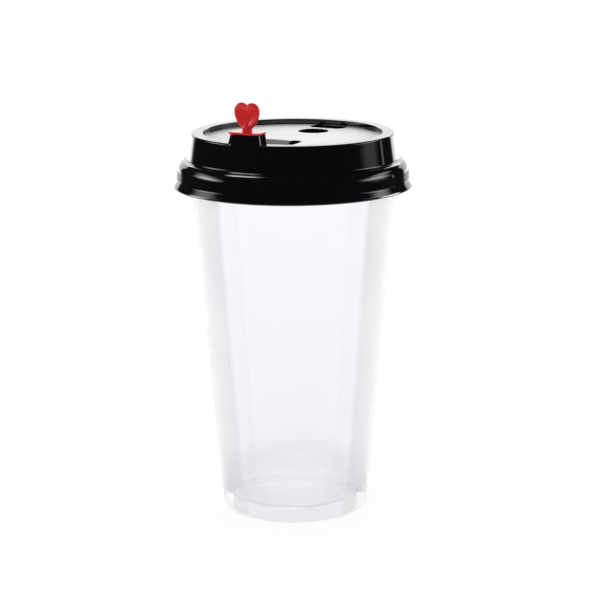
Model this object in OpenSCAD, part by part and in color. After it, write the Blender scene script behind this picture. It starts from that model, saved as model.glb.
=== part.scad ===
// Clear drinking cup with a press-on lid and a heart-topped stopper in the lid's spout.
// The cup stands on z = 0 on the z axis, and the spout faces the -y side.

/* [Cup] */
// Height of the cup from the table to its rim
cup_h = 144.8; // [120:0.2:165]
// Diameter of the rim, which also sets the size of the lid
rim_d = 90; // [86:0.5:96]
// Diameter that the wall's slope reaches at the table
base_d = 59.2; // [52:0.2:66]
// Thickness of the cup's wall
cup_wall = 0.8; // [0.7:0.05:1.2]
// How far the rim stands out from the wall
rim_reach = 2.8; // [2.6:0.05:3.4]
// Height of the rim's turned-down edge
rim_drop = 3.2; // [2.4:0.1:4]
// Thickness of the rim and of its turned-down edge
rim_t = 1.1; // [0.9:0.05:1.3]

/* [Cup base] */
// Height of the inner floor above the table
floor_z = 5.8; // [4.8:0.1:9]
// Thickness of the floor
floor_t = 1; // [0.8:0.05:1.4]
// Radius between the wall and the floor inside
floor_fillet = 3.8; // [2:0.1:5]
// Rounding of the outer edge at the table
heel_round = 2.4; // [1.6:0.1:2.8]
// Width from the wall's slope at the table to the inner edge of the foot ring
foot_w = 3.3; // [3.1:0.05:4]
// Inward slope of the foot ring's inner wall over its height
foot_draft = 0.3; // [0.1:0.05:0.6]
// Radius of the moulding mark under the floor
gate_r = 2.2; // [1.5:0.1:4]
// Depth of the moulding mark
gate_depth = 0.35; // [0.2:0.05:0.5]

/* [Lid] */
// Thickness of the lid's skirt, crown and rim band
lid_wall = 1; // [0.9:0.05:1.4]
// Room between the cup's rim and the skirt
rim_gap = 0.8; // [0.7:0.05:1.2]
// Clearance of the snap bead from the cup's rim
snap_gap = 0.25; // [0.2:0.05:0.5]
// How far the skirt hangs below the cup's rim
skirt_drop = 10; // [7.5:0.1:12]
// How far the skirt leans outwards on its way down
skirt_flare = 0.4; // [0:0.05:0.9]
// How far the lip at the skirt's foot turns outwards
lip_w = 1.2; // [0.4:0.05:1.4]
// Height of that lip
lip_h = 3.2; // [2.4:0.1:3.6]
// Rounding of the shoulder above the cup's rim
shoulder_round = 3.2; // [2.2:0.1:3.2]
// How far the crown's foot lies inside the rim's edge
crown_inset = 2.3; // [2.3:0.05:2.8]
// Height of the crown above the shoulder
crown_h = 11; // [9:0.1:14]
// How far the crown leans inwards on its way up
crown_lean = 1.5; // [0.8:0.05:2.2]
// Width of the flat band round the top
band_w = 5; // [4.4:0.1:6]
// Rounding of the band's outer edge
band_round = 0.8; // [0.4:0.05:1]
// Depth of the deck below the band
deck_drop = 2.2; // [1.4:0.1:2.8]
// Thickness of the deck
deck_t = 1; // [0.8:0.05:1.3]
// How far the sealing ring reaches into the cup
seal_drop = 4; // [2.5:0.1:6]
// Thickness of the sealing ring
seal_t = 1; // [0.8:0.05:1.3]
// Clearance between the sealing ring and the cup's wall
seal_gap = 0.3; // [0.2:0.05:0.5]

/* [Spout] */
// Width of the spout where it leaves the band
spout_w = 14.6; // [13:0.1:16]
// How much narrower the spout is at its top
spout_taper = 1.4; // [0.4:0.1:2]
// Depth of the spout from its front to its back
spout_depth = 8.5; // [8:0.1:9.5]
// Height of the spout above the band
spout_rise = 3.8; // [2:0.1:5]
// Thickness of the spout's walls
spout_wall = 1.3; // [1:0.05:1.5]
// Rounding of the spout's upright corners
spout_round = 2.2; // [2:0.1:2.6]
// Slope at the spout's top edge
spout_edge = 0.5; // [0.2:0.05:0.8]
// Width of the sunk trough behind the spout
trough_w = 20.6; // [18:0.2:24]
// Reach of the trough from the middle of the spout
trough_reach = 27; // [22:0.2:27.6]
// Depth of the trough below the deck
trough_drop = 1.5; // [1:0.1:1.8]
// Width of the slope at the trough's far end
trough_slope = 2; // [1:0.1:3]

/* [Wells in the deck] */
// Radius of the straw well
straw_r = 6.15; // [5:0.05:6.5]
// Distance of the straw well from the middle of the lid
straw_y = 18; // [16:0.1:19]
// Depth of the straw well
straw_drop = 2.6; // [1.5:0.1:4]
// Thickness of the skin that a straw pierces
straw_skin = 0.7; // [0.5:0.05:1]
// Radius of the tear line in that skin
tear_r = 5; // [4:0.1:5.2]
// Width and depth of the tear line
tear_cut = 0.35; // [0.2:0.05:0.4]
// Width of the pocket where the stopper can be parked
rest_w = 15; // [14.8:0.1:17]
// Depth of that pocket
rest_drop = 2.4; // [1.5:0.1:3]
// Radius of the vent well at the corner of the trough
vent_r = 2.5; // [2:0.1:3]
// Distance of the vent well from the middle line
vent_x = 7.1; // [6:0.1:8]
// Depth of the vent well below the deck
vent_drop = 2.4; // [2.2:0.1:3]
// Radius of the air hole in the vent well
air_r = 0.6; // [0.4:0.05:1]

/* [Stopper] */
// Width of the stem that fills the slot in the spout
stem_w = 8.4; // [7:0.1:8.8]
// Depth of the stem from front to back
stem_d = 3.4; // [2.6:0.1:3.8]
// Length of the stem below the flange
stem_l = 5; // [3:0.1:7]
// Clearance round the stem in the slot
stem_gap = 0.2; // [0.15:0.05:0.4]
// Width of the flange that lies on the spout
flange_w = 14.4; // [12:0.1:14.6]
// Depth of the flange from front to back
flange_d = 7.8; // [6:0.1:8]
// Thickness of the flange
flange_t = 0.8; // [0.7:0.05:1.2]
// Rounding of the flange's corners
flange_round = 2.4; // [1.5:0.1:2.8]
// Slope at the flange's top edge
flange_edge = 0.25; // [0.15:0.05:0.4]
// Diameter of the neck at its narrowest
neck_d = 3.8; // [3.4:0.1:4.4]
// Height of the neck's even part above the flange
neck_h = 1.9; // [1.8:0.1:2.6]
// Radius of the hollow at the neck's foot
neck_flare = 0.7; // [0.4:0.1:0.9]
// Height over which the neck's top narrows into the heart
neck_blend = 2.6; // [1.5:0.1:3.5]

/* [Heart] */
// Width of the heart
heart_w = 11; // [10.4:0.1:11.4]
// Height of the heart from where its sides would meet to the top of its lobes
heart_h = 11.2; // [10.5:0.1:13]
// Height above the flange at which the heart's sides would meet
tip_rise = 0.1; // [0:0.1:0.6]
// Outer radius of the heart's lobes
lobe_r = 3.2; // [3.05:0.05:3.4]
// Diameter of the round bead along the heart's edge
bead_d = 2.3; // [1.8:0.05:2.6]
// Thickness of the plate inside the bead
plate_t = 1.3; // [0.9:0.05:1.6]

/* [Hidden] */
$fn = 96;
arc_steps = 6;
hull_fn = 32;
slice = 0.01;
overcut = 1;

rim_r = rim_d / 2;
base_r = base_d / 2;
wall_top_r = rim_r - rim_reach;
floor_under_z = floor_z - floor_t;
foot_in_r = base_r - foot_w;

edge_round = 0.3;
root_round = 0.4;
shoulder_in_round = 1.6;
soft_round = 0.5;
recess_round = 0.8;
rim_round = 0.9;
lip_round = 0.6;
lip_blend = 1.2;

skirt_in_r = rim_r + rim_gap;
skirt_out_r = skirt_in_r + lid_wall;
skirt_foot_r = skirt_out_r + skirt_flare;
skirt_foot_z = cup_h - skirt_drop;
lip_edge_z = skirt_foot_z + lip_h / 3;
snap_r = rim_r + snap_gap;
snap_h = 1.6;
snap_z = cup_h - rim_drop - snap_gap - snap_h / 2;
shoulder_z = cup_h + lid_wall;
crown_foot_round = 1;
crown_foot_r = rim_r - crown_inset;
band_z = shoulder_z + crown_h;
band_out_r = crown_foot_r - crown_lean;
band_in_r = band_out_r - band_w;
band_lean = 0.1;
deck_r = band_in_r - band_lean;
deck_z = band_z - deck_drop;
deck_under_z = deck_z - deck_t;
seal_z = cup_h - seal_drop;

spout_z = band_z + spout_rise;
spout_back_y = -(band_out_r - spout_depth);
spout_y = -(band_out_r - spout_depth / 2);
spout_foot_z = deck_z - trough_drop - deck_t;
spout_in_z = spout_z - spout_wall;
spout_sink = 0.01;
slot_w = stem_w + 2 * stem_gap;
slot_d = stem_d + 2 * stem_gap;
trough_round = 2.5;
trough_z = deck_z - trough_drop;
vent_inset = 0.4;
vent_y = spout_y + sqrt(trough_reach ^ 2 - vent_x ^ 2) - vent_inset;

rest_back_y = deck_r - root_round;
rest_d = flange_d + 2 * stem_gap;
rest_y = rest_back_y - rest_d / 2;
rest_round = flange_round + stem_gap;
rest_z = deck_z - rest_drop;
boss_top_z = deck_z - deck_t / 2;

flange_z = spout_z + flange_t;
neck_r = neck_d / 2;
neck_sink_z = flange_z - flange_t / 2;
neck_top_round = 1;
neck_end_r = plate_t / 4;
bead_r = bead_d / 2;
tip_z = flange_z + tip_rise;
lobe_x = heart_w / 2 - lobe_r;
lobe_z = tip_z + heart_h - lobe_r;
bead_line_r = lobe_r - bead_r;
cleft_turn = 180 - acos(lobe_x / lobe_r);
side_r = ((heart_w / 2) ^ 2 + (lobe_z - tip_z) ^ 2) / heart_w;
side_x = heart_w / 2 - side_r;
side_line_r = side_r - bead_r;
side_turn = acos(-side_x / side_line_r);
ball_swell = 0.02;

// Radius of the cup's outer wall at height z
function wall_r(z) = base_r + (wall_top_r - base_r) * z / cup_h;

// Radius of the crown's outer wall at height z, carried on above the band for the spout
function crown_r(z) = crown_foot_r - crown_lean * (z - shoulder_z) / crown_h;

// Points that round the corner b between a and c; each point is [r, z, rounding]
function rounded_corner(a, b, c) =
    let (
        at = [b[0], b[1]],
        to_a = [a[0], a[1]] - at,
        to_c = [c[0], c[1]] - at,
        u = to_a / norm(to_a),
        v = to_c / norm(to_c),
        half = acos(u * v) / 2,
        middle = at + (u + v) / norm(u + v) * b[2] / sin(half),
        from = at + u * b[2] / tan(half) - middle,
        start = atan2(from[1], from[0]),
        side = sign(u[0] * v[1] - u[1] * v[0]),
        turn = -side * (180 - 2 * half)
    )
    [for (i = [0 : arc_steps]) let (angle = start + turn * i / arc_steps)
        middle + b[2] * [cos(angle), sin(angle)]];

// The outline with each corner rounded by its own third value, where it has one
function rounded_outline(points) =
    [for (i = [0 : len(points) - 1])
        let (
            n = len(points),
            b = points[i],
            corner = len(b) == 3
                ? rounded_corner(points[(i + n - 1) % n], b, points[(i + 1) % n])
                : [b]
        )
        each corner];

module turned(points) {
    rotate_extrude() polygon(rounded_outline(points));
}

// A rectangle with round corners, centred on the origin
module round_rect(w, d, r) {
    square([w - 2 * r, d], center = true);
    square([w, d - 2 * r], center = true);
    for (x = [-1, 1])
        for (y = [-1, 1])
            translate([x * (w / 2 - r), y * (d / 2 - r)])
                circle(r);
}

// A slot with round ends, centred on the origin
module slot_plan(w, d) {
    square([w - d, d], center = true);
    for (x = [-1, 1])
        translate([x * (w - d) / 2, 0])
            circle(d = d);
}

// The cup's whole section: foot ring, raised floor, tapered wall and turned-down rim
module cup() {
    color([0.93, 0.92, 0.96, 0.45])
        turned([
            [0, floor_under_z + gate_depth],
            [gate_r, floor_under_z + gate_depth],
            [gate_r + gate_depth, floor_under_z],
            [foot_in_r - foot_draft, floor_under_z, recess_round],
            [foot_in_r, 0, edge_round],
            [base_r, 0, heel_round],
            [wall_r(cup_h - rim_t), cup_h - rim_t, soft_round],
            [rim_r - rim_t, cup_h - rim_t, root_round],
            [rim_r - rim_t, cup_h - rim_drop, edge_round],
            [rim_r, cup_h - rim_drop, edge_round],
            [rim_r, cup_h, rim_round],
            [wall_top_r - cup_wall, cup_h, edge_round],
            [wall_r(floor_z) - cup_wall, floor_z, floor_fillet],
            [0, floor_z]
        ]);
}

// The lid's section without the spout and wells, from the skirt's foot over the crown to the
// middle of the deck, and back underneath past the sealing ring and the snap bead
module lid_shell() {
    lip_r = skirt_foot_r + lip_w;
    seal_top_r = wall_top_r - cup_wall - seal_gap;
    seal_r = wall_r(seal_z) - cup_wall - seal_gap;
    turned([
        [lip_r, skirt_foot_z, soft_round],
        [lip_r, lip_edge_z, lip_round],
        [skirt_foot_r, skirt_foot_z + lip_h, lip_blend],
        [skirt_out_r, shoulder_z, shoulder_round],
        [crown_foot_r, shoulder_z, crown_foot_round],
        [band_out_r, band_z, band_round],
        [band_in_r, band_z, soft_round],
        [deck_r, deck_z, root_round],
        [0, deck_z],
        [0, deck_under_z],
        [deck_r + lid_wall, deck_under_z, root_round],
        [band_in_r + lid_wall, band_z - lid_wall, root_round],
        [crown_r(band_z - lid_wall) - lid_wall, band_z - lid_wall, soft_round],
        [crown_foot_r - lid_wall, shoulder_z, root_round],
        [seal_top_r - seal_t, shoulder_z, root_round],
        [seal_r - seal_t, seal_z, edge_round],
        [seal_r, seal_z, edge_round],
        [seal_top_r, cup_h],
        [skirt_in_r, cup_h, shoulder_in_round],
        [skirt_in_r, snap_z + snap_h / 2],
        [snap_r, snap_z, edge_round],
        [skirt_in_r, snap_z - snap_h / 2],
        [lip_r - lid_wall, skirt_foot_z, edge_round]
    ]);
}

// The spout's outline at one height, with its front on the crown's wall
module spout_plan(z, w, inset) {
    offset(r = spout_round - inset, $fn = hull_fn)
        offset(delta = -spout_round)
            intersection() {
                circle(crown_r(z) - spout_sink);
                translate([-w / 2, spout_back_y - spout_depth * 2])
                    square([w, spout_depth * 2]);
            }
}

module spout_slice(z, w, inset) {
    translate([0, 0, z])
        linear_extrude(slice)
            spout_plan(z, w, inset);
}

module spout_body() {
    hull() {
        spout_slice(spout_foot_z, spout_w, 0);
        spout_slice(band_z, spout_w, 0);
        spout_slice(spout_z - spout_edge, spout_w - spout_taper, 0);
        spout_slice(spout_z - slice, spout_w - spout_taper, spout_edge);
    }
}

module spout_hollow() {
    hull() {
        spout_slice(spout_foot_z - overcut, spout_w, spout_wall);
        spout_slice(band_z, spout_w, spout_wall);
        spout_slice(spout_in_z, spout_w - spout_taper, spout_wall + spout_edge);
    }
}

module spout_slot() {
    translate([0, spout_y, spout_in_z - overcut])
        linear_extrude(spout_wall + 2 * overcut)
            slot_plan(slot_w, slot_d);
}

// The trough's outline, or with grow the outline of the boss under it
module trough_plan(grow) {
    offset(r = trough_round + grow, $fn = hull_fn)
        offset(delta = -trough_round)
            intersection() {
                translate([0, spout_y])
                    circle(trough_reach);
                translate([-trough_w / 2, spout_back_y - overcut])
                    square([trough_w, trough_reach]);
            }
}

// The trough; its sides slope half as far as its end does
module trough() {
    hull() {
        translate([0, -trough_slope / 2, trough_z])
            linear_extrude(slice)
                trough_plan(-trough_slope / 2);
        translate([0, 0, deck_z])
            linear_extrude(slice)
                trough_plan(0);
    }
}

// A boss under the deck, from height z up into the deck
module boss(z) {
    translate([0, 0, z])
        linear_extrude(boss_top_z - z)
            children();
}

// Bosses that carry the trough, the wells and the stopper's parking slot
module deck_bosses() {
    boss(trough_z - deck_t)
        trough_plan(deck_t);
    boss(deck_z - straw_drop - straw_skin)
        translate([0, straw_y])
            circle(straw_r + deck_t);
    boss(deck_z - vent_drop - deck_t)
        translate([vent_x, vent_y])
            circle(vent_r + deck_t);
    boss(rest_z - deck_t)
        translate([0, rest_y])
            round_rect(rest_w + 2 * deck_t, rest_d + deck_t, rest_round + deck_t / 2);
    boss(rest_z - stem_l - deck_t)
        translate([0, rest_y])
            slot_plan(slot_w + 2 * deck_t, slot_d + 2 * deck_t);
}

// A cut into the deck from above, down to height z
module well(z) {
    translate([0, 0, z])
        linear_extrude(band_z - z)
            children();
}

// The trough, the straw well with its tear line, the vent well with its air hole, and the
// pocket and slot where the stopper is parked
module deck_cuts() {
    trough();
    well(deck_z - straw_drop)
        translate([0, straw_y])
            circle(straw_r);
    translate([0, straw_y, deck_z - straw_drop - tear_cut])
        rotate_extrude()
            translate([tear_r - tear_cut, 0])
                square([tear_cut, 2 * tear_cut]);
    well(deck_z - vent_drop)
        translate([vent_x, vent_y])
            circle(vent_r);
    well(deck_z - vent_drop - deck_t - overcut)
        translate([vent_x, vent_y])
            circle(air_r);
    well(rest_z)
        translate([0, rest_y])
            round_rect(rest_w, rest_d, rest_round);
    well(rest_z - stem_l)
        translate([0, rest_y])
            slot_plan(slot_w, slot_d);
}

// The lid is one moulding: shell, bosses, wells, trough and hollow spout
module lid() {
    color([0.05, 0.05, 0.055])
        difference() {
            union() {
                difference() {
                    union() {
                        lid_shell();
                        deck_bosses();
                    }
                    deck_cuts();
                }
                spout_body();
            }
            spout_hollow();
            spout_slot();
        }
}

// The flange lies on the spout, and the stem hangs in the slot
module plug_foot() {
    translate([0, 0, spout_z])
        linear_extrude(flange_t - flange_edge)
            round_rect(flange_w, flange_d, flange_round);
    hull() {
        translate([0, 0, flange_z - flange_edge - slice])
            linear_extrude(slice)
                round_rect(flange_w, flange_d, flange_round, $fn = hull_fn);
        translate([0, 0, flange_z - slice])
            linear_extrude(slice)
                round_rect(flange_w - 2 * flange_edge, flange_d - 2 * flange_edge,
                    flange_round - flange_edge, $fn = hull_fn);
    }
    translate([0, 0, spout_z - stem_l])
        linear_extrude(stem_l + flange_t / 2)
            slot_plan(stem_w, stem_d);
}

// A round neck that spreads to the flange below and narrows into the heart's plate above
module neck() {
    turned([
        [0, neck_sink_z],
        [neck_r + neck_flare, neck_sink_z],
        [neck_r + neck_flare, flange_z],
        [neck_r, flange_z, neck_flare],
        [neck_r, flange_z + neck_h, neck_top_round],
        [neck_end_r, flange_z + neck_h + neck_blend],
        [0, flange_z + neck_h + neck_blend]
    ]);
}

// A ball on the bead's line at [x, z], just large enough to cover the joint of two stretches
module bead_ball(at) {
    translate([at[0], 0, at[1]])
        sphere(bead_r + ball_swell);
}

// A stretch of the bead, upright, turned about the middle from angle a to angle b
module bead_arc(middle, r, a, b) {
    translate([middle[0], 0, middle[1]])
        rotate([90, 0, 0])
            rotate([0, 0, a])
                rotate_extrude(angle = b - a)
                    translate([r, 0])
                        circle(bead_r);
}

// One half of the heart, upright on the x-z plane: a round bead along its edge, and the plate
module half_heart() {
    side_foot = [0, lobe_z - side_line_r * sin(side_turn)];
    side_top = [lobe_x + bead_line_r, lobe_z];
    cleft = [lobe_x, lobe_z] + bead_line_r * [cos(cleft_turn), sin(cleft_turn)];
    bead_arc([lobe_x, lobe_z], bead_line_r, 0, cleft_turn);
    bead_arc([side_x, lobe_z], side_line_r, -side_turn, 0);
    bead_ball(side_foot);
    bead_ball(side_top);
    bead_ball(cleft);
    translate([0, plate_t / 2, 0])
        rotate([90, 0, 0])
            linear_extrude(plate_t) {
                translate([lobe_x, lobe_z])
                    circle(bead_line_r);
                intersection() {
                    translate([side_x, lobe_z])
                        circle(side_line_r);
                    translate([0, lobe_z - side_line_r])
                        square([heart_w, side_line_r]);
                }
                polygon([
                    [0, lobe_z - bead_r],
                    [lobe_x, lobe_z - bead_r],
                    [lobe_x, lobe_z + bead_line_r],
                    cleft,
                    [0, cleft[1]]
                ]);
            }
}

// The stopper is one moulding: stem, flange, neck and heart
module plug() {
    color([0.85, 0.06, 0.07])
        translate([0, spout_y, 0]) {
            plug_foot();
            neck();
            half_heart();
            mirror([1, 0, 0])
                half_heart();
        }
}

cup();
lid();
plug();
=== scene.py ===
import math

import bmesh
import bpy
from mathutils import Matrix, Vector


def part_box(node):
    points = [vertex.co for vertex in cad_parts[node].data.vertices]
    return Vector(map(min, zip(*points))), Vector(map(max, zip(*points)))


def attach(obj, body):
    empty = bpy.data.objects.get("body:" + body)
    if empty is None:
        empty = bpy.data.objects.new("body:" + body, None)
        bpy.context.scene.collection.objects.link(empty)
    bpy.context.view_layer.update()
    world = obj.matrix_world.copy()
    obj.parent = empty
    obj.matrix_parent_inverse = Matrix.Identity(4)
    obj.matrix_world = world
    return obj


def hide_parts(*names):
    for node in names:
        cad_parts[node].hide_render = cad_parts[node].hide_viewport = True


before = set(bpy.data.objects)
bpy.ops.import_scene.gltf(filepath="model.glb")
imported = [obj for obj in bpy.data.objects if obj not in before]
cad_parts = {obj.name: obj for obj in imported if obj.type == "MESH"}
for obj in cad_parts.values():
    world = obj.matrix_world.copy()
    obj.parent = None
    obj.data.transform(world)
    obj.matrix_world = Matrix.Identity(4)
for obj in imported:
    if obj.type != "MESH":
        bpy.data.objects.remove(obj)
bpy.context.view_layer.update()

mm = 0.001          # the tables are in millimetres, Blender works in metres
axisLimit = 1e-6    # a radius below this lies on the axis
sameSpot = 1e-5     # points closer than this are one point
hair = 0.01         # keeps the two arcs of a round end just apart
overcut = 2         # how far a cutter reaches out of the face that it opens
reachPast = 1       # how far a cutter or a plan runs on where nothing shows
quarterTurn = [math.radians(a) for a in range(0, 91, 15)]
openTurn = [math.radians(a) for a in range(0, 81, 20)]


# size of a CAD node in millimetres
def boxInMm(node):
    low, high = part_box(node)
    return low / mm, high / mm


# points of an arc from one angle to another, in degrees, both ends included
def arcPoints(centre, radius, startAngle, endAngle, steps=10):
    span = endAngle - startAngle
    angles = [math.radians(startAngle + span * i / steps) for i in range(steps + 1)]
    return [(centre[0] + radius * math.cos(a), centre[1] + radius * math.sin(a)) for a in angles]


# closed outline in which each corner is rounded by its third value, where it has one
def roundedOutline(corners, degreesPerStep=10, fewestSteps=3):
    outline = []
    for i, corner in enumerate(corners):
        at = Vector(corner[:2])
        if len(corner) == 2:
            outline.append(tuple(at))
            continue
        radius = corner[2]
        toBefore = (Vector(corners[i - 1][:2]) - at).normalized()
        toAfter = (Vector(corners[(i + 1) % len(corners)][:2]) - at).normalized()
        half = toBefore.angle(toAfter) / 2
        middle = at + (toBefore + toAfter).normalized() * radius / math.sin(half)
        first = at + toBefore * radius / math.tan(half) - middle
        turn = 180 - 2 * math.degrees(half)
        if toBefore.x * toAfter.y - toBefore.y * toAfter.x > 0:
            turn = -turn
        start = math.degrees(math.atan2(first.y, first.x))
        steps = max(fewestSteps, round(abs(turn) / degreesPerStep))
        outline += arcPoints(middle, radius, start, start + turn, steps)
    return outline


# drops points that fall on the one before them
def distinct(points):
    return [p for i, p in enumerate(points)
            if (Vector(p) - Vector(points[i - 1])).length > sameSpot]


# writes a shape into a mesh, lets the shape go and puts the mesh into the scene
def placeShape(name, shape, mesh=None):
    mesh = mesh or bpy.data.meshes.new(name)
    shape.to_mesh(mesh)
    shape.free()
    thing = bpy.data.objects.new(name, mesh)
    bpy.context.scene.collection.objects.link(thing)
    return thing


def newObject(name, vertices, faces):
    mesh = bpy.data.meshes.new(name)
    mesh.from_pydata(vertices, [], faces)
    shape = bmesh.new()
    shape.from_mesh(mesh)
    bmesh.ops.recalc_face_normals(shape, faces=shape.faces)
    return placeShape(name, shape, mesh)


# turns a closed section of (radius, height) round the z axis
def turnedPiece(name, corners, around=256):
    vertices, rings, faces = [], [], []
    for radius, height in distinct(roundedOutline(corners)):
        if radius < axisLimit:
            rings.append([len(vertices)] * around)
            vertices.append((0, 0, height))
            continue
        rings.append(range(len(vertices), len(vertices) + around))
        for i in range(around):
            angle = 2 * math.pi * i / around
            vertices.append((radius * math.cos(angle), radius * math.sin(angle), height))
    for ring, nextRing in zip(rings, rings[1:] + rings[:1]):
        for i in range(around):
            j = (i + 1) % around
            face = list(dict.fromkeys([ring[i], ring[j], nextRing[j], nextRing[i]]))
            if len(face) > 2:
                faces.append(face)
    return newObject(name, vertices, faces)


# skins rings of equal count, one above the other, and closes both ends
def loftedPiece(name, rings):
    count = len(rings[0])
    vertices = [point for ring in rings for point in ring]
    faces = [list(range(count)), list(range(len(vertices) - count, len(vertices)))]
    for start in range(0, len(vertices) - count, count):
        for i in range(count):
            j = (i + 1) % count
            faces.append([start + i, start + j, start + j + count, start + i + count])
    return newObject(name, vertices, faces)


# the same plan at several (grow, height) levels
def stackedPiece(name, plan, levels):
    return loftedPiece(name, [[(x, y, z) for x, y in plan(grow)] for grow, z in levels])


def applyModifiers(thing):
    evaluated = thing.evaluated_get(bpy.context.evaluated_depsgraph_get())
    settled = bpy.data.meshes.new_from_object(evaluated)
    thing.modifiers.clear()
    thing.data = settled
    return thing


# adds or cuts away a group of helper solids, which are then gone
def carve(thing, operation, helpers):
    group = bpy.data.collections.new("helpers")
    for helper in helpers:
        group.objects.link(helper)
    step = thing.modifiers.new(operation, "BOOLEAN")
    step.operation = operation
    step.operand_type = "COLLECTION"
    step.collection = group
    step.solver = "EXACT"
    applyModifiers(thing)
    for helper in helpers:
        bpy.data.objects.remove(helper)
    bpy.data.collections.remove(group)


# takes out the faces that cuts left double, and joins the points that they left split
def mendSeams(thing):
    thing.data.validate()
    shape = bmesh.new()
    shape.from_mesh(thing.data)
    bmesh.ops.remove_doubles(shape, verts=shape.verts, dist=sameSpot)
    shape.to_mesh(thing.data)
    shape.free()
    return thing


# puts several closed meshes into one object
def joinedPiece(name, parts):
    shape = bmesh.new()
    for part in parts:
        shape.from_mesh(part.data)
        bpy.data.objects.remove(part)
    return placeShape(name, shape)


# scales to metres, shades, dresses and mounts a finished piece in place of its CAD node
def finishPiece(thing, node, material, sharpAngle=32):
    thing.data.transform(Matrix.Scale(mm, 4))
    thing.data.materials.clear()
    thing.data.materials.append(material)
    thing.data.shade_smooth()
    thing.data.set_sharp_from_angle(angle=math.radians(sharpAngle))
    weighted = thing.modifiers.new("evenShading", "WEIGHTED_NORMAL")
    weighted.keep_sharp = True
    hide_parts(node)
    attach(thing, node)
    print("made", thing.name, len(thing.data.polygons), "faces")


# plan of a rectangle with round corners, centred on (0, y)
def roundRectPlan(width, depth, corner, y=0.0):
    across, along = width / 2 - corner, depth / 2 - corner
    points = []
    for sideX, sideY, start in ((1, -1, -90), (1, 1, 0), (-1, 1, 90), (-1, -1, 180)):
        points += arcPoints((sideX * across, y + sideY * along), corner, start, start + 90)
    return distinct(points)


# plan with straight sides and a straight back, closed by an arc about (0, centreY)
def archPlan(halfWidth, reach, centreY, backY, corner, facing, reachSteps=24):
    sideX = halfWidth - corner
    sideY = math.sqrt((reach - corner) ** 2 - sideX ** 2)
    back = facing * (backY - centreY) + corner
    lean = math.degrees(math.atan2(sideY, sideX))
    points = arcPoints((sideX, back), corner, -90, 0)
    points += arcPoints((sideX, sideY), corner, 0, lean)
    points += arcPoints((0, 0), reach, lean, 180 - lean, reachSteps)
    points += arcPoints((-sideX, sideY), corner, 180 - lean, 180)
    points += arcPoints((-sideX, back), corner, 180, 270)
    return [(x, centreY + facing * y) for x, y in distinct(points)]


def circlePlan(radius, x=0.0, y=0.0, around=96):
    return arcPoints((x, y), radius, 0, 360, around)[:-1]


# levels of a well's cutter: a filleted floor, an upright wall and a softened upper edge
def wellLevels(topZ, depth, floorRound, edgeRound):
    bottomZ = topZ - depth
    levels = [(floorRound * (math.sin(t) - 1), bottomZ + floorRound * (1 - math.cos(t)))
              for t in quarterTurn]
    levels += [(edgeRound * (1 - math.cos(t)), topZ - edgeRound * (1 - math.sin(t)))
               for t in openTurn]
    return levels + [(levels[-1][0], topZ + overcut)]


# a node tree with short helpers that make its nodes and wire them
class Wiring:
    def __init__(self, tree):
        self.tree = tree

    def node(self, kind, **values):
        made = self.tree.nodes.new(kind)
        for name, value in values.items():
            if hasattr(made, name):
                setattr(made, name, value)
            else:
                made.inputs[name.replace("_", " ")].default_value = value
        return made

    # gives a socket a plain value, or feeds it from another socket
    def feed(self, socket, value):
        if isinstance(value, bpy.types.NodeSocket):
            self.tree.links.new(value, socket)
        else:
            socket.default_value = value

    def maths(self, operation, a, b=0.0):
        step = self.node("ShaderNodeMath", operation=operation)
        self.feed(step.inputs[0], a)
        self.feed(step.inputs[1], b)
        return step.outputs["Value"]

    # x, y and z of a place
    def axes(self, place):
        split = self.node("ShaderNodeSeparateXYZ")
        self.feed(split.inputs["Vector"], place)
        return split.outputs

    # spreads a value that runs from low to high over another range
    def spread(self, value, low, high, toLow, toHigh, smooth=False):
        ramp = self.node("ShaderNodeMapRange")
        if smooth:
            ramp.interpolation_type = "SMOOTHSTEP"
        self.feed(ramp.inputs["Value"], value)
        for name, number in (("From Min", low), ("From Max", high),
                             ("To Min", toLow), ("To Max", toHigh)):
            ramp.inputs[name].default_value = number
        return ramp.outputs["Result"]

    # mixes two shaders by a share
    def blendShaders(self, share, first, second):
        mix = self.node("ShaderNodeMixShader")
        for socket, value in zip(mix.inputs, (share, first, second)):
            self.feed(socket, value)
        return mix.outputs["Shader"]

    # share of a ray that sees the studio's plain white: from the camera, or through clear plastic
    def seesWhite(self, path):
        return self.maths("MAXIMUM", path.outputs["Is Camera Ray"],
                          path.outputs["Is Transmission Ray"])


# a material, its shader and the places of its surface
class Finish(Wiring):
    def __init__(self, name):
        self.material = bpy.data.materials.new(name)
        self.material.use_nodes = True
        super().__init__(self.material.node_tree)
        self.shader = self.tree.nodes["Principled BSDF"]
        self.place = self.node("ShaderNodeTexCoord").outputs["Object"]

    def put(self, name, value):
        self.feed(self.shader.inputs[name], value)

    # noise in object space, with so many spots to the metre
    def noise(self, scale, detail=2.0, stretch=(1, 1, 1)):
        squeeze = self.node("ShaderNodeMapping", Scale=stretch)
        self.feed(squeeze.inputs["Vector"], self.place)
        spots = self.node("ShaderNodeTexNoise", Scale=scale, Detail=detail)
        self.feed(spots.inputs["Vector"], squeeze.outputs["Vector"])
        return spots.outputs["Fac"]

    # mixes two colours by a value; each is given as a colour or comes from another node
    def blendColours(self, value, low, high):
        mix = self.node("ShaderNodeMix", data_type="RGBA")
        self.feed(mix.inputs["Factor"], value)
        for name, colour in (("A", low), ("B", high)):
            self.feed(mix.inputs[name], (*colour, 1) if isinstance(colour, tuple) else colour)
        return mix.outputs["Result"]

    def bump(self, height, distance):
        relief = self.node("ShaderNodeBump", Distance=distance, Strength=1.0)
        self.feed(relief.inputs["Height"], height)
        self.put("Normal", relief.outputs["Normal"])


noiseSpan = (0.3, 0.7)    # most values of a noise lie between these

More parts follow.
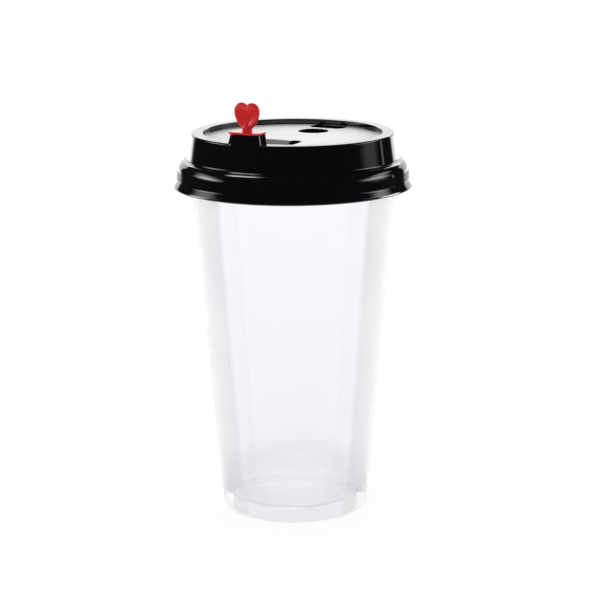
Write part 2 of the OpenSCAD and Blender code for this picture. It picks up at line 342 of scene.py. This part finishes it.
# clear moulded plastic: faint cool tint, with painted shade that deepens it towards the foot and
# darkens the base, flow marks and slight ripples
clearLook = {
    "tintAtRim": (0.93, 0.905, 0.97),
    "footTintWithPaintedShade": (0.83, 0.80, 0.88),
    "paintedShadeAtBase": (0.58, 0.55, 0.63),
    "paintedBaseShadeZone": (0.010, 0.022),
    "refraction": 1.3,
    "roughness": (0.03, 0.08),
    "flowScale": 60,
    "flowDetail": 3,
    "flowStretch": (1, 1, 0.12),
    "rippleDepth": 0.000004,
    "body": 0.3,
}


def makeClearPlastic(topZ):
    look = clearLook
    finish = Finish("clearPlastic")
    height = finish.axes(finish.place)["Z"]
    rise = finish.spread(height, 0, topZ * mm, 0, 1)
    # the side runs from the rim's own cool tint to a darker foot: painted shade
    side = finish.blendColours(rise, look["footTintWithPaintedShade"], look["tintAtRim"])
    # painted shade: the base is darker, standing in for the shadowed floor seen under the cup
    aboveBase = finish.spread(height, *look["paintedBaseShadeZone"], 0, 1, True)
    finish.put("Base Color", finish.blendColours(aboveBase, look["paintedShadeAtBase"], side))
    flow = finish.noise(look["flowScale"], look["flowDetail"], look["flowStretch"])
    finish.put("Roughness", finish.spread(flow, *noiseSpan, *look["roughness"]))
    finish.bump(flow, look["rippleDepth"])
    finish.put("Transmission Weight", 1)
    finish.put("IOR", look["refraction"])
    finish.put("Alpha", look["body"])
    return finish.material


# black plastic: high gloss outside and in the wells, satin on the sunk deck and in its trough
blackLook = {
    "colour": (0.0022, 0.0022, 0.002),
    "streak": (0.0032, 0.0032, 0.003),
    "streakScale": 45,
    "streakDetail": 3,
    "gloss": (0.045, 0.075),
    "satin": (0.3, 0.36),
    "sheen": 0.9,
    "sheenRoughness": 0.35,
    "sheenTint": (0.93, 0.92, 0.97),
    "grainScale": 2600,
    "grainDepth": 0.00001,
    "refraction": 1.5,
}


def makeBlackPlastic(name, roughness, grained):
    look = blackLook
    finish = Finish(name)
    flow = finish.noise(look["streakScale"], look["streakDetail"])
    finish.put("Base Color", finish.blendColours(flow, look["colour"], look["streak"]))
    finish.put("Roughness", finish.spread(flow, *noiseSpan, *roughness))
    if grained:
        finish.bump(finish.noise(look["grainScale"]), look["grainDepth"])
        finish.put("Sheen Weight", look["sheen"])
        finish.put("Sheen Roughness", look["sheenRoughness"])
        finish.put("Sheen Tint", (*look["sheenTint"], 1))
    finish.put("IOR", look["refraction"])
    return finish.material


# red plastic with a soft shine and a slightly cloudy mass
redLook = {
    "colour": (0.56, 0.010, 0.012),
    "cloud": (0.66, 0.018, 0.018),
    "cloudScale": 160,
    "cloudDetail": 3,
    "roughness": (0.22, 0.32),
    "grainScale": 1500,
    "grainDepth": 0.000012,
    "refraction": 1.5,
}


def makeRedPlastic():
    look = redLook
    finish = Finish("glossRedPlastic")
    cloud = finish.noise(look["cloudScale"], look["cloudDetail"])
    finish.put("Base Color", finish.blendColours(cloud, look["colour"], look["cloud"]))
    finish.put("Roughness", finish.spread(cloud, *noiseSpan, *look["roughness"]))
    finish.bump(finish.noise(look["grainScale"]), look["grainDepth"])
    finish.put("IOR", look["refraction"])
    return finish.material


# the cup: one section turned round the axis
cup = {
    "baseRadius": 29.6, "rimReach": 2.8, "rimDrop": 3.2, "rimThickness": 1.1, "wall": 0.8,
    "floorHeight": 5.8, "floorThickness": 1.0, "floorFillet": 3.8, "heelRound": 2.4,
    "footWidth": 3.3, "footDraft": 0.3, "footRoot": 0.8,
    "gateRadius": 2.2, "gateDepth": 0.35, "gateRound": 0.1,
    "rimRound": 0.9, "rimRoot": 0.5, "rimInside": 0.4, "edgeRound": 0.3,
}
cupHigh = boxInMm("cup")[1]
cupHeight, rimRadius = cupHigh.z, cupHigh.x
wallTopRadius = rimRadius - cup["rimReach"]


# radius of the cup's outer wall at a height
def wallRadius(z):
    return cup["baseRadius"] + (wallTopRadius - cup["baseRadius"]) * z / cupHeight


def makeCup():
    underZ = cup["floorHeight"] - cup["floorThickness"]
    gateZ = underZ + cup["gateDepth"]
    footInner = cup["baseRadius"] - cup["footWidth"]
    rimUnderZ = cupHeight - cup["rimThickness"]
    rimEdgeZ = cupHeight - cup["rimDrop"]
    rimInner = rimRadius - cup["rimThickness"]
    edge = cup["edgeRound"]
    return turnedPiece("clearCup", [
        (0, gateZ),
        (cup["gateRadius"], gateZ, cup["gateRound"]),
        (cup["gateRadius"] + cup["gateDepth"], underZ, cup["gateRound"]),
        (footInner - cup["footDraft"], underZ, cup["footRoot"]),
        (footInner, 0, edge),
        (cup["baseRadius"], 0, cup["heelRound"]),
        (wallRadius(rimUnderZ), rimUnderZ, cup["rimRoot"]),
        (rimInner, rimUnderZ, cup["rimInside"]),
        (rimInner, rimEdgeZ, edge),
        (rimRadius, rimEdgeZ, edge),
        (rimRadius, cupHeight, cup["rimRound"]),
        (wallTopRadius - cup["wall"], cupHeight, edge),
        (wallRadius(cup["floorHeight"]) - cup["wall"], cup["floorHeight"], cup["floorFillet"]),
        (0, cup["floorHeight"]),
    ])


print("cup")
clearCup = makeCup()
finishPiece(clearCup, "cup", makeClearPlastic(cupHeight))

# the lid: a turned shell, then the wells, the trough and the hollow spout
lid = {
    "wall": 1.0, "rimGap": 0.8, "skirtFlare": 0.4, "lipWidth": 1.2, "lipHeight": 3.2,
    "lipRound": 0.6, "lipBlend": 1.2, "snapClearance": 0.25, "snapHeight": 1.6,
    "shoulderRound": 3.2, "shoulderDrop": 4.6, "shoulderSteps": 12, "shoulderInside": 1.6,
    "crownInset": 2.3, "crownHeight": 11.0, "crownLean": 1.5, "crownFootRound": 1.0,
    "bandWidth": 5.0, "bandRound": 0.8, "bandLean": 0.1, "deckDrop": 2.2, "deckThickness": 1.0,
    "sealDrop": 4.0, "sealThickness": 1.0, "sealClearance": 0.3,
    "softRound": 0.5, "rootRound": 0.4, "edgeRound": 0.3, "around": 288,
}
spout = {
    "width": 14.6, "taper": 1.4, "depth": 8.5, "wall": 1.3, "corner": 2.2, "edge": 0.5,
    "sink": 0.02, "slotWidth": 8.8, "slotDepth": 3.8, "slotChamfer": 0.2, "overTop": 0.001,
    "troughWidth": 20.6, "troughReach": 27.0, "troughDrop": 1.5, "troughCorner": 2.5,
    "troughSlope": 2.0, "troughBlend": 0.4,
}
wells = {
    "strawRadius": 6.15, "strawY": 18.0, "strawDrop": 2.6, "strawSkin": 0.7,
    "tearRadius": 5.0, "tearCut": 0.35, "tearLift": 0.5, "tearAround": 96,
    "ventRadius": 2.5, "ventX": 7.1, "ventDrop": 2.4, "ventInset": 0.4,
    "airRadius": 0.6, "airLift": 0.7,
    "restWidth": 15.0, "restDepth": 8.2, "restCorner": 2.6, "restDrop": 2.4, "restInset": 0.4,
    "slotDrop": 5.0, "slotLift": 0.3, "edgeRound": 0.3, "floorRound": 0.4,
}
lidLow, lidHigh = boxInMm("lid")
shoulderZ = cupHeight + lid["wall"]
bandZ = shoulderZ + lid["crownHeight"]
deckZ = bandZ - lid["deckDrop"]
deckUnderZ = deckZ - lid["deckThickness"]
crownFoot = rimRadius - lid["crownInset"]
bandOuter = crownFoot - lid["crownLean"]
bandInner = bandOuter - lid["bandWidth"]
deckRadius = bandInner - lid["bandLean"]
spoutTopZ = lidHigh.z
spoutBackY = -(bandOuter - spout["depth"])
spoutY = -(bandOuter - spout["depth"] / 2)
restY = deckRadius - wells["restInset"] - wells["restDepth"] / 2
ventY = (spoutY + math.sqrt(spout["troughReach"] ** 2 - wells["ventX"] ** 2)
         - wells["ventInset"])


# radius of the crown's outer wall at a height
def crownRadius(z):
    return crownFoot - lid["crownLean"] * (z - shoulderZ) / lid["crownHeight"]


# the skirt's upper edge bends in softly, a little further down than it goes across
def shoulderBend(skirtOuter, skirtLength):
    drop, steps = lid["shoulderDrop"], lid["shoulderSteps"]
    across = lid["shoulderRound"] + lid["skirtFlare"] * drop / skirtLength
    middle = skirtOuter - lid["shoulderRound"]
    return [(middle + across * math.cos(a), shoulderZ - drop + drop * math.sin(a))
            for a in (math.radians(90 * i / steps) for i in range(steps + 1))]


def makeLidShell():
    skirtInner = rimRadius + lid["rimGap"]
    skirtOuter = skirtInner + lid["wall"]
    skirtFoot = skirtOuter + lid["skirtFlare"]
    footZ = lidLow.z
    lip = skirtFoot + lid["lipWidth"]
    lipTopZ = footZ + lid["lipHeight"]
    snapRadius = rimRadius + lid["snapClearance"]
    snapZ = cupHeight - cup["rimDrop"] - lid["snapClearance"] - lid["snapHeight"] / 2
    sealZ = cupHeight - lid["sealDrop"]
    sealTop = wallTopRadius - cup["wall"] - lid["sealClearance"]
    sealFoot = wallRadius(sealZ) - cup["wall"] - lid["sealClearance"]
    innerZ = bandZ - lid["wall"]
    soft, root, edge = lid["softRound"], lid["rootRound"], lid["edgeRound"]
    return turnedPiece("blackLid", [
        (lip, footZ, soft),
        (lip, footZ + lid["lipHeight"] / 3, lid["lipRound"]),
        (skirtFoot, lipTopZ, lid["lipBlend"]),
        *shoulderBend(skirtOuter, shoulderZ - footZ - lid["lipHeight"]),
        (crownFoot, shoulderZ, lid["crownFootRound"]),
        (bandOuter, bandZ, lid["bandRound"]),
        (bandInner, bandZ, soft),
        (deckRadius, deckZ, root),
        (0, deckZ),
        (0, deckUnderZ),
        (deckRadius + lid["wall"], deckUnderZ, root),
        (bandInner + lid["wall"], innerZ, root),
        (crownRadius(innerZ) - lid["wall"], innerZ, soft),
        (crownFoot - lid["wall"], shoulderZ, root),
        (sealTop - lid["sealThickness"], shoulderZ, root),
        (sealFoot - lid["sealThickness"], sealZ, edge),
        (sealFoot, sealZ, edge),
        (sealTop, cupHeight),
        (skirtInner, cupHeight, lid["shoulderInside"]),
        (skirtInner, snapZ + lid["snapHeight"] / 2),
        (snapRadius, snapZ, edge),
        (skirtInner, snapZ - lid["snapHeight"] / 2),
        (lip - lid["wall"], footZ, edge),
    ], lid["around"])


# plan of the spout at a height, its front on the crown's wall
def spoutPlan(z, width, inset=0.0):
    return archPlan(width / 2 - inset, crownRadius(z) - spout["sink"] - inset, 0,
                    spoutBackY - inset, spout["corner"] - inset, -1)


def spoutRings(levels):
    return [[(x, y, z) for x, y in spoutPlan(z, width, inset)] for z, width, inset in levels]


def troughPlan(grow):
    return archPlan(spout["troughWidth"] / 2 + grow, spout["troughReach"] + grow, spoutY,
                    spoutBackY - reachPast - grow, spout["troughCorner"] + grow, 1)


# points of a soft bend from one point past a corner to another
def bend(first, corner, last, steps=5):
    return [tuple(Vector(first) * (1 - t) ** 2 + Vector(corner) * 2 * t * (1 - t)
                  + Vector(last) * t ** 2) for t in (i / steps for i in range(steps + 1))]


# rings of the trough's cutter: its end slopes, and its sides slope half as far
def troughRings():
    slope, drop, blend = spout["troughSlope"], spout["troughDrop"], spout["troughBlend"]
    along, level = Vector((slope, -drop)).normalized() * blend, Vector((blend, 0))
    low, high = Vector((slope, deckZ - drop)), Vector((0, deckZ))
    levels = bend(low + level, low, low - along) + bend(high + along, high, high - level)
    levels.append((-blend, deckZ + overcut))
    return [[(x, y - inward / 2, z) for x, y in troughPlan(-inward / 2)] for inward, z in levels]


def strawPlan(grow):
    return circlePlan(wells["strawRadius"] + grow, 0, wells["strawY"])


def ventPlan(grow):
    return circlePlan(wells["ventRadius"] + grow, wells["ventX"], ventY)


def airPlan(grow):
    return circlePlan(wells["airRadius"] + grow, wells["ventX"], ventY)


def restPlan(grow):
    return roundRectPlan(wells["restWidth"] + 2 * grow, wells["restDepth"] + 2 * grow,
                         wells["restCorner"] + grow, restY)


def slotPlan(grow, y=restY):
    width, depth = spout["slotWidth"] + 2 * grow, spout["slotDepth"] + 2 * grow
    return roundRectPlan(width, depth, depth / 2 - hair, y)


def makeLid():
    skin = lid["deckThickness"]
    bossTop = deckZ - skin / 2
    troughZ = deckZ - spout["troughDrop"]
    strawZ = deckZ - wells["strawDrop"]
    ventZ = deckZ - wells["ventDrop"]
    restZ = deckZ - wells["restDrop"]
    slotZ = restZ - wells["slotDrop"]
    rounds = wells["floorRound"], wells["edgeRound"]
    chamfer = spout["slotChamfer"]
    shell = makeLidShell()
    carve(shell, "UNION", [
        stackedPiece("troughBoss", troughPlan, [(skin, troughZ - skin), (skin, bossTop)]),
        stackedPiece("strawBoss", strawPlan, [(skin, strawZ - wells["strawSkin"]),
                                              (skin, bossTop)]),
        stackedPiece("ventBoss", ventPlan, [(skin, ventZ - skin), (skin, bossTop)]),
        stackedPiece("restBoss", restPlan, [(skin / 2, restZ - skin), (skin / 2, bossTop)]),
        stackedPiece("slotBoss", slotPlan, [(skin, slotZ - skin), (skin, bossTop)]),
    ])
    tear, tearCut, tearTop = wells["tearRadius"], wells["tearCut"], strawZ + wells["tearLift"]
    tearRing = turnedPiece("tearRing", [
        (tear - tearCut, tearTop), (tear - tearCut / 2, strawZ - tearCut), (tear, tearTop),
    ], wells["tearAround"])
    tearRing.data.transform(Matrix.Translation((0, wells["strawY"], 0)))
    carve(shell, "DIFFERENCE", [
        loftedPiece("trough", troughRings()),
        stackedPiece("strawWell", strawPlan, wellLevels(deckZ, wells["strawDrop"], *rounds)),
        tearRing,
        stackedPiece("ventWell", ventPlan, wellLevels(deckZ, wells["ventDrop"], *rounds)),
        stackedPiece("airHole", airPlan, [(0, ventZ - skin - reachPast),
                                          (0, ventZ + wells["airLift"])]),
        stackedPiece("restWell", restPlan, wellLevels(deckZ, wells["restDrop"], *rounds)),
        stackedPiece("restSlot", slotPlan, [(0, slotZ), (0, restZ - chamfer), (chamfer, restZ),
                                            (chamfer, restZ + wells["slotLift"])]),
    ])
    wide, narrow = spout["width"], spout["width"] - spout["taper"]
    edge, wall = spout["edge"], spout["wall"]
    top = [(spoutTopZ - edge * (1 - math.sin(t)), narrow, edge * (1 - math.cos(t)))
           for t in quarterTurn]
    carve(shell, "UNION", [loftedPiece("spoutBody", spoutRings(
        [(troughZ - skin, wide, 0), (bandZ, wide, 0)] + top))])
    roof = spoutTopZ - wall
    carve(shell, "DIFFERENCE", [
        loftedPiece("spoutHollow", spoutRings([
            (troughZ - skin - reachPast, wide, wall), (bandZ, wide, wall),
            (roof, narrow, wall + edge)])),
        stackedPiece("spoutSlot", lambda grow: slotPlan(grow, spoutY), [
            (0, roof - reachPast), (0, spoutTopZ - chamfer),
            (chamfer, spoutTopZ + spout["overTop"]), (chamfer, spoutTopZ + reachPast)]),
    ])
    return mendSeams(shell)


# which faces count as deck: this far in from its wall, this near its height, this much facing up
deckFaces = {"margin": 0.2, "slack": 0.05, "facingUp": 0.3}


# gives the faces of the deck and of the trough that look up their own material
def dressDeck(thing, material):
    thing.data.materials.append(material)
    reach = deckRadius - deckFaces["margin"]
    lowest = deckZ - spout["troughDrop"] - deckFaces["slack"]
    highest = deckZ + deckFaces["slack"]
    for face in thing.data.polygons:
        x, y, z = face.center / mm
        flat = face.normal.z > deckFaces["facingUp"]
        if flat and math.hypot(x, y) < reach and lowest < z < highest:
            face.material_index = 1


print("lid")
blackLid = makeLid()
finishPiece(blackLid, "lid",
            makeBlackPlastic("glossBlackPlastic", blackLook["gloss"], False))
dressDeck(blackLid, makeBlackPlastic("satinBlackPlastic", blackLook["satin"], True))

# the stopper: stem, flange, neck and a heart with a round bead along its edge
stopper = {
    "stemWidth": 8.4, "stemDepth": 3.4, "stemEdge": 0.25, "stemSink": 0.5,
    "flangeWidth": 14.4, "flangeDepth": 7.8, "flangeThickness": 0.8, "flangeCorner": 2.4,
    "flangeEdge": 0.25, "neckRadius": 1.9, "neckHeight": 1.9, "neckFlare": 0.7,
    "neckBlend": 2.6, "neckRound": 1.0, "neckSink": 0.6, "neckAround": 48,
    "heartWidth": 11.0, "tipRise": 0.1, "lobeRadius": 3.2, "beadRadius": 1.15, "plate": 1.3,
    "cleftDip": 0.5, "arcSteps": 30, "voxel": 0.12, "smoothing": 6, "smoothShare": 0.5,
}
stopperLow, stopperHigh = boxInMm("plug")


# a round tube along points in the upright plane y = 0
def beadTube(name, path, radius, around=24):
    rings = []
    for i, (x, z) in enumerate(path):
        before, after = Vector(path[max(i - 1, 0)]), Vector(path[min(i + 1, len(path) - 1)])
        along = (after - before).normalized()
        across = Vector((along.y, 0, -along.x))
        rings.append([
            Vector((x, 0, z)) + radius * (math.cos(a) * across + math.sin(a) * Vector((0, 1, 0)))
            for a in (2 * math.pi * k / around for k in range(around))])
    return loftedPiece(name, rings)


def ball(name, x, z, radius, around=32, upward=20):
    shape = bmesh.new()
    bmesh.ops.create_uvsphere(shape, u_segments=around, v_segments=upward, radius=radius,
                              matrix=Matrix.Translation((x, 0, z)))
    return placeShape(name, shape)


def flangePlan(grow):
    return roundRectPlan(stopper["flangeWidth"] + 2 * grow, stopper["flangeDepth"] + 2 * grow,
                         stopper["flangeCorner"] + grow, spoutY)


def stemPlan(grow):
    return roundRectPlan(stopper["stemWidth"] + 2 * grow, stopper["stemDepth"] + 2 * grow,
                         stopper["stemDepth"] / 2 - hair + grow, spoutY)


# middle line of the bead on one side of the heart: up from the tip, over the lobe, to the cleft
def heartLine(tipZ):
    lobe, bead, steps = stopper["lobeRadius"], stopper["beadRadius"], stopper["arcSteps"]
    halfWidth = stopper["heartWidth"] / 2
    lobeX, lobeZ = halfWidth - lobe, stopperHigh.z - lobe
    sideRadius = (halfWidth ** 2 + (lobeZ - tipZ) ** 2) / (2 * halfWidth)
    sideX = halfWidth - sideRadius
    sideTurn = math.degrees(math.acos(-sideX / (sideRadius - bead)))
    cleftTurn = 180 - math.degrees(math.acos(lobeX / lobe))
    line = arcPoints((sideX, lobeZ), sideRadius - bead, -sideTurn, 0, steps)
    return line + arcPoints((lobeX, lobeZ), lobe - bead, 0, cleftTurn, steps)[1:]


def makeStopper():
    flangeZ = spoutTopZ + stopper["flangeThickness"]
    flangeEdge, stemEdge = stopper["flangeEdge"], stopper["stemEdge"]
    parts = [
        stackedPiece("flange", flangePlan, [(0, spoutTopZ)] + [
            (flangeEdge * (math.cos(t) - 1), flangeZ - flangeEdge * (1 - math.sin(t)))
            for t in (math.radians(a) for a in range(0, 91, 30))]),
        stackedPiece("stem", stemPlan, [(-stemEdge, stopperLow.z), (0, stopperLow.z + stemEdge),
                                        (0, spoutTopZ + stopper["stemSink"])]),
    ]
    neck, flare, sunkZ = stopper["neckRadius"], stopper["neckFlare"], flangeZ - stopper["neckSink"]
    neckTopZ = flangeZ + stopper["neckHeight"]
    blendZ = neckTopZ + stopper["neckBlend"]
    upright = [turnedPiece("neck", [
        (0, sunkZ), (neck + flare, sunkZ), (neck + flare, flangeZ), (neck, flangeZ, flare),
        (neck, neckTopZ, stopper["neckRound"]), (stopper["plate"] / 4, blendZ), (0, blendZ),
    ], stopper["neckAround"])]
    bead, half = stopper["beadRadius"], stopper["plate"] / 2
    line = heartLine(flangeZ + stopper["tipRise"])
    for side in (-1, 1):
        path = [(side * x, z) for x, z in line]
        upright.append(beadTube("bead", path, bead))
        upright += [ball("footBall", *path[0], bead), ball("cleftBall", *path[-1], bead)]
        face = path + [(0, path[-1][1] - stopper["cleftDip"])]
        upright.append(loftedPiece("plate", [[(x, y, z) for x, z in face] for y in (-half, half)]))
    for part in upright:
        part.data.transform(Matrix.Translation((0, spoutY, 0)))
    thing = joinedPiece("heartStopper", parts + upright)
    melt = thing.modifiers.new("melt", "REMESH")
    melt.mode = "VOXEL"
    melt.voxel_size = stopper["voxel"]
    melt.use_smooth_shade = True
    soften = thing.modifiers.new("soften", "SMOOTH")
    soften.factor = stopper["smoothShare"]
    soften.iterations = stopper["smoothing"]
    return applyModifiers(thing)


print("stopper")
heartStopper = makeStopper()
finishPiece(heartStopper, "plug", makeRedPlastic(), sharpAngle=60)

# camera where the photograph was taken from, then the studio round the object
camera = {"place": (0.3814, -0.7024, 0.27219), "pitch": 76.94, "turn": 28.32, "roll": -0.35,
          "lens": 119.54, "sensor": 36, "nearest": 0.01}


def makeCamera():
    lens = bpy.data.cameras.new("camera")
    lens.lens = camera["lens"]
    lens.sensor_width = camera["sensor"]
    lens.clip_start = camera["nearest"]
    viewer = bpy.data.objects.new("camera", lens)
    viewer.location = camera["place"]
    aim = Matrix.Identity(3)
    for axis, angle in (("Z", camera["turn"]), ("X", camera["pitch"]), ("Z", camera["roll"])):
        aim = aim @ Matrix.Rotation(math.radians(angle), 3, axis)
    viewer.rotation_euler = aim.to_euler()
    bpy.context.scene.collection.objects.link(viewer)
    bpy.context.scene.camera = viewer


# a point of the studio: to the right, away from the camera and up, in metres
def studioPoint(right, away, up):
    return Matrix.Rotation(math.radians(camera["turn"]), 4, "Z") @ Vector((right, away, up))


# soft boxes: place and aim in studio metres, size, and brightness as the object sees it;
# soft is the share of the half width and half height over which the light fades out
lampAim = (0, 0, 0.15)
lamps = {
    "backdropGlow": {"place": (0.063, 1.1, 0.31), "aim": (0.063, 0, 0.31), "size": (1.79, 0.66),
                     "level": 1.7, "soft": (0.08, 0.1)},
    "deckBox": {"place": (0.05, 1.05, 0.62), "aim": (0, 0, 0.16), "size": (0.9, 0.4),
                "level": 3.2, "soft": (0.5, 0.5)},
    "rightStrip": {"place": (0.915, 0.398, 0.18), "size": (0.08, 0.3), "level": 1.3,
                   "soft": (0.9, 0.7)},
    "rightGlow": {"place": (1.0, 0.03, 0.2), "size": (0.58, 0.3), "level": 0.6,
                  "soft": (0.8, 0.8)},
    "rightLow": {"place": (0.67, 0.17, 0.018), "aim": (0, 0, 0.13), "size": (0.5, 0.032),
                 "level": 14.0, "soft": (0.6, 0.3), "lidOnly": True},
    "leftLow": {"place": (-0.68, 0.12, 0.018), "aim": (0, 0, 0.13), "size": (0.44, 0.032),
                "level": 10.0, "soft": (0.8, 0.3), "lidOnly": True},
    "rightUpper": {"place": (0.85, 0.24, 0.62), "size": (0.7, 0.26), "level": 3.2,
                   "soft": (0.8, 0.8)},
    "leftUpper": {"place": (-0.86, 0.2, 0.61), "size": (0.7, 0.26), "level": 2.2,
                  "soft": (0.8, 0.8)},
    "leftHigh": {"place": (-0.39, 0.235, 1.04), "size": (0.4, 0.4), "level": 9.0,
                 "soft": (0.6, 0.6), "lidOnly": True},
    "leftShoulder": {"place": (-0.99, 0.06, 0.42), "size": (0.9, 0.4), "level": 7.5,
                     "soft": (0.95, 0.8)},
    "rightShoulder": {"place": (0.98, 0.0, 0.42), "size": (0.9, 0.38), "level": 6.0,
                      "soft": (0.95, 0.8)},
    "topBox": {"place": (0, -0.6, 1.0), "size": (0.8, 0.5), "level": 0.25, "hidden": True},
    "frontFill": {"place": (-0.3, -1.3, 0.7), "aim": (0, 0, 0.12), "size": (0.9, 0.9),
                  "level": 1.2, "hidden": True},
}

# the lamps marked lidOnly light the lid and nothing else
lidGroup = bpy.data.collections.new("lidGroup")
lidGroup.objects.link(blackLid)


# fades a light out towards its edges, by shares of its half width and half height
def softenEdges(light, shares):
    light.use_nodes = True
    wiring = Wiring(light.node_tree)
    across = wiring.axes(wiring.node("ShaderNodeNewGeometry").outputs["Parametric"])
    fades = [wiring.spread(wiring.maths("PINGPONG", across[axis], 0.5), 0, share / 2, 0, 1, True)
             for axis, share in zip(("X", "Y"), shares)]
    wiring.feed(wiring.tree.nodes["Emission"].inputs["Strength"],
                wiring.maths("MULTIPLY", *fades))


def makeLamp(name, lamp):
    light = bpy.data.lights.new(name, "AREA")
    light.shape = "RECTANGLE"
    light.size, light.size_y = lamp["size"]
    light.energy = lamp["level"] * math.pi * light.size * light.size_y
    if "soft" in lamp:
        softenEdges(light, lamp["soft"])
    thing = bpy.data.objects.new(name, light)
    thing.location = studioPoint(*lamp["place"])
    aim = studioPoint(*lamp.get("aim", lampAim)) - thing.location
    thing.rotation_euler = aim.to_track_quat("-Z", "Y").to_euler()
    thing.visible_camera = False
    thing.visible_transmission = False
    thing.visible_glossy = "hidden" not in lamp
    if "lidOnly" in lamp:
        thing.light_linking.receiver_collection = lidGroup
    bpy.context.scene.collection.objects.link(thing)


studio = {
    "ambient": 0.62,                        # the even fill that the object gets
    "darkRoom": 0.02,                       # what gloss sees where there is no lamp
    "floorSize": 12, "floorColour": (0.9, 0.9, 0.905), "floorRoughness": 0.9,
    "floorRadius": 0.72,                    # gloss sees the lit floor within this radius
    "floorGlow": 0.9,                       # share of plain white over the floor's own shading
    "farFloor": 1.0,                        # and beyond it a wedge that shines, behind the object
    "glowTurn": 0.01, "glowSpan": 0.76,     # the wedge's middle and half angle, in radians
    "fade": 0.15,                           # width of both soft edges, in metres and radians
}


# plain white for the camera and through clear plastic, an even fill, and a dark room for gloss
def makeWorld():
    world = bpy.data.worlds.new("studio")
    world.use_nodes = True
    world.cycles.sampling_method = "NONE"
    wiring = Wiring(world.node_tree)
    path = wiring.node("ShaderNodeLightPath")
    fill = wiring.spread(path.outputs["Is Glossy Ray"], 0, 1, studio["ambient"],
                         studio["darkRoom"])
    whole = wiring.node("ShaderNodeMix")
    for name, value in (("Factor", wiring.seesWhite(path)), ("A", fill), ("B", 1)):
        wiring.feed(whole.inputs[name], value)
    background = wiring.tree.nodes["Background"]
    wiring.feed(background.inputs["Strength"], whole.outputs["Result"])
    wiring.feed(background.inputs["Color"], (1, 1, 1, 1))
    bpy.context.scene.world = world


# the floor keeps the object's shadow, and shines for gloss behind the object and beyond it
def makeFloor():
    half, fade = studio["floorSize"] / 2, studio["fade"]
    floor = newObject("floor", [(-half, -half, 0), (half, -half, 0), (half, half, 0),
                                (-half, half, 0)], [(0, 1, 2, 3)])
    floor.rotation_euler.z = math.radians(camera["turn"])
    finish = Finish("paleFloor")
    finish.put("Base Color", (*studio["floorColour"], 1))
    finish.put("Roughness", studio["floorRoughness"])
    finish.put("Specular IOR Level", 0)
    shaded = finish.shader.outputs["BSDF"]
    place = finish.axes(finish.place)
    aside = finish.maths("SUBTRACT", finish.maths("ARCTAN2", place["X"], place["Y"]),
                         studio["glowTurn"])
    behind = finish.spread(finish.maths("ABSOLUTE", aside), studio["glowSpan"],
                           studio["glowSpan"] - fade, 0, 1, True)
    far = finish.node("ShaderNodeEmission")
    finish.feed(far.inputs["Strength"],
                finish.spread(behind, 0, 1, studio["darkRoom"], studio["farFloor"]))
    span = finish.node("ShaderNodeVectorMath", operation="LENGTH")
    finish.feed(span.inputs[0], finish.place)
    near = finish.spread(span.outputs["Value"], studio["floorRadius"],
                         studio["floorRadius"] - fade, 0, 1, True)
    plainWhite = finish.node("ShaderNodeEmission", Strength=1.0)
    whiteness = finish.spread(near, 0, 1, 1, studio["floorGlow"])
    reflected = finish.blendShaders(near, far.outputs["Emission"], shaded)
    seen = finish.blendShaders(whiteness, shaded, plainWhite.outputs["Emission"])
    white = finish.seesWhite(finish.node("ShaderNodeLightPath"))
    finish.feed(finish.tree.nodes["Material Output"].inputs["Surface"],
                finish.blendShaders(white, reflected, seen))
    floor.data.materials.append(finish.material)


print("studio")
makeCamera()
makeWorld()
makeFloor()
for name, lamp in lamps.items():
    makeLamp(name, lamp)
bpy.context.scene.view_settings.view_transform = "Standard"
